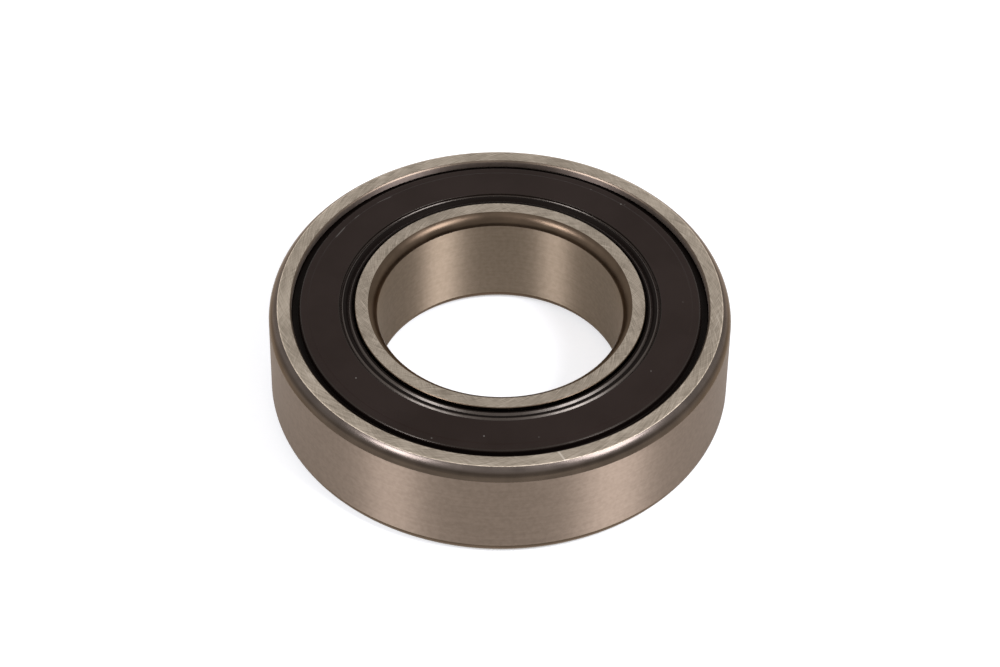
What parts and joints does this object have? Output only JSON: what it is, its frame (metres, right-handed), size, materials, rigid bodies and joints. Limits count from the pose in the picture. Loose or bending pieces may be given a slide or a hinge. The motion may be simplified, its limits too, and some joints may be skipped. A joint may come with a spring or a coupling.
{
  "type": "sealed ball bearing",
  "caption": "Single-row deep groove ball bearing with a rubber contact seal on each side, whose inner ring, cage and balls turn inside the outer ring",
  "frame": {"origin": "the middle of the bore: on the bearing's axis, half way between its two side faces", "axes": "+Z along the axis the inner ring turns on, out of the upper side face; X and Y lie in the plane of the balls' centres, and the first ball is on +X"},
  "size_m": [0.047, 0.047, 0.012],
  "materials": {
    "ring_steel": "hardened steel, side faces ground matt, diameters ground fine, turned corners smoother and darker",
    "ball_steel": "hardened steel, polished",
    "sheet_steel": "pressed sheet steel, dull",
    "rivet_steel": "soft steel, headed cold",
    "seal_rubber": "moulded oil-resistant rubber, satin black with a brown cast, fine dust"
  },
  "bodies": {
    "outer_ring_assembly": {"outer_ring": "ring_steel", "upper_seal": "seal_rubber", "upper_seal_insert": "sheet_steel", "lower_seal": "seal_rubber", "lower_seal_insert": "sheet_steel"},
    "inner_ring": {"inner_ring": "ring_steel"},
    "cage": {"cage_upper_half": "sheet_steel", "cage_lower_half": "sheet_steel", "cage_rivets": "rivet_steel"},
    "ball_01": {"ball_01": "ball_steel"},
    "ball_02": {"ball_02": "ball_steel"},
    "ball_03": {"ball_03": "ball_steel"},
    "ball_04": {"ball_04": "ball_steel"},
    "ball_05": {"ball_05": "ball_steel"},
    "ball_06": {"ball_06": "ball_steel"},
    "ball_07": {"ball_07": "ball_steel"},
    "ball_08": {"ball_08": "ball_steel"},
    "ball_09": {"ball_09": "ball_steel"},
    "ball_10": {"ball_10": "ball_steel"}
  },
  "joints": [
    {"name": "inner_ring_spin", "type": "hinge", "parent": "outer_ring_assembly", "child": "inner_ring", "pos_m": [0, 0, 0], "axis": [0, 0, 1], "continuous": true},
    {"name": "cage_spin", "type": "hinge", "parent": "outer_ring_assembly", "child": "cage", "pos_m": [0, 0, 0], "axis": [0, 0, 1], "continuous": true},
    {"name": "ball_01_spin", "type": "hinge", "parent": "cage", "child": "ball_01", "pos_m": [0.018, 0, 0], "axis": [0, 0, 1], "continuous": true},
    {"name": "ball_02_spin", "type": "hinge", "parent": "cage", "child": "ball_02", "pos_m": [0.01456, 0.01058, 0], "axis": [0, 0, 1], "continuous": true},
    {"name": "ball_03_spin", "type": "hinge", "parent": "cage", "child": "ball_03", "pos_m": [0.00556, 0.01712, 0], "axis": [0, 0, 1], "continuous": true},
    {"name": "ball_04_spin", "type": "hinge", "parent": "cage", "child": "ball_04", "pos_m": [-0.00556, 0.01712, 0], "axis": [0, 0, 1], "continuous": true},
    {"name": "ball_05_spin", "type": "hinge", "parent": "cage", "child": "ball_05", "pos_m": [-0.01456, 0.01058, 0], "axis": [0, 0, 1], "continuous": true},
    {"name": "ball_06_spin", "type": "hinge", "parent": "cage", "child": "ball_06", "pos_m": [-0.018, 0, 0], "axis": [0, 0, 1], "continuous": true},
    {"name": "ball_07_spin", "type": "hinge", "parent": "cage", "child": "ball_07", "pos_m": [-0.01456, -0.01058, 0], "axis": [0, 0, 1], "continuous": true},
    {"name": "ball_08_spin", "type": "hinge", "parent": "cage", "child": "ball_08", "pos_m": [-0.00556, -0.01712, 0], "axis": [0, 0, 1], "continuous": true},
    {"name": "ball_09_spin", "type": "hinge", "parent": "cage", "child": "ball_09", "pos_m": [0.00556, -0.01712, 0], "axis": [0, 0, 1], "continuous": true},
    {"name": "ball_10_spin", "type": "hinge", "parent": "cage", "child": "ball_10", "pos_m": [0.01456, -0.01058, 0], "axis": [0, 0, 1], "continuous": true}
  ],
  "couplings": [
    {"joint": "cage_spin", "follows": "inner_ring_spin", "ratio": 0.41181},
    {"joint": "ball_01_spin", "follows": "inner_ring_spin", "ratio": -2.7465},
    {"joint": "ball_02_spin", "follows": "inner_ring_spin", "ratio": -2.7465},
    {"joint": "ball_03_spin", "follows": "inner_ring_spin", "ratio": -2.7465},
    {"joint": "ball_04_spin", "follows": "inner_ring_spin", "ratio": -2.7465},
    {"joint": "ball_05_spin", "follows": "inner_ring_spin", "ratio": -2.7465},
    {"joint": "ball_06_spin", "follows": "inner_ring_spin", "ratio": -2.7465},
    {"joint": "ball_07_spin", "follows": "inner_ring_spin", "ratio": -2.7465},
    {"joint": "ball_08_spin", "follows": "inner_ring_spin", "ratio": -2.7465},
    {"joint": "ball_09_spin", "follows": "inner_ring_spin", "ratio": -2.7465},
    {"joint": "ball_10_spin", "follows": "inner_ring_spin", "ratio": -2.7465}
  ]
}
